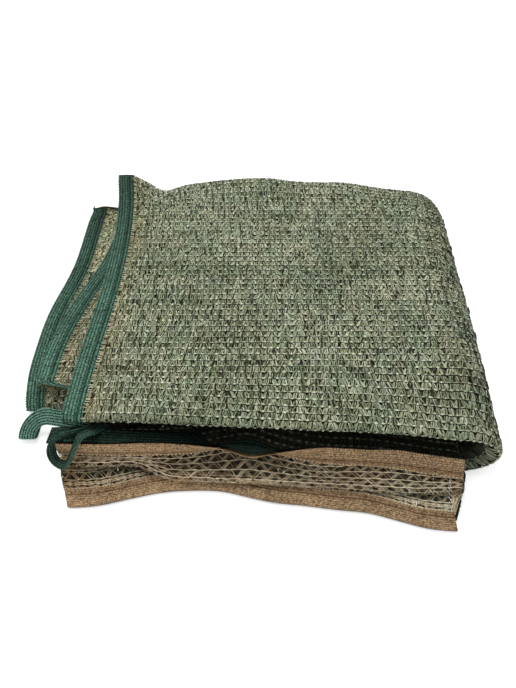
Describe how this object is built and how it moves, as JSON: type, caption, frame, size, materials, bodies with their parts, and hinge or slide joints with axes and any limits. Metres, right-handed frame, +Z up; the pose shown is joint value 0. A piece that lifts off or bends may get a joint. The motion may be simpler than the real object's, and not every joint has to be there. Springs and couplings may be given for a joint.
{
  "type": "folded camouflage net",
  "caption": "Reversible two-ply knitted camouflage net, folded into a flat bundle, with taped edges and tie loops at one corner.",
  "frame": {"origin": "middle of the bundle's outline, on the surface it rests on", "axes": "+X to the sideways fold, +Y away from the open front, +Z up"},
  "size_m": [0.5952, 0.6138, 0.0809],
  "materials": {
    "green_ply": "matte openwork knit",
    "tan_ply": "matte openwork knit",
    "green_tape": "ribbed knitted tape, slight sheen",
    "tan_tape": "ribbed knitted tape, slight sheen",
    "loop_tape": "ribbed knitted tape, slight sheen"
  },
  "bodies": {
    "root": {"net_green": "green_ply", "net_tan": "tan_ply", "tape_green_front": "green_tape", "tape_green_back": "green_tape", "tape_green_left_upper": "green_tape", "tape_green_left_lower": "green_tape", "tape_tan_front": "tan_tape", "tape_tan_back": "tan_tape", "tape_tan_left_upper": "tan_tape", "tape_tan_left_lower": "tan_tape", "loop_upper": "loop_tape", "loop_lower": "loop_tape"}
  },
  "joints": []
}
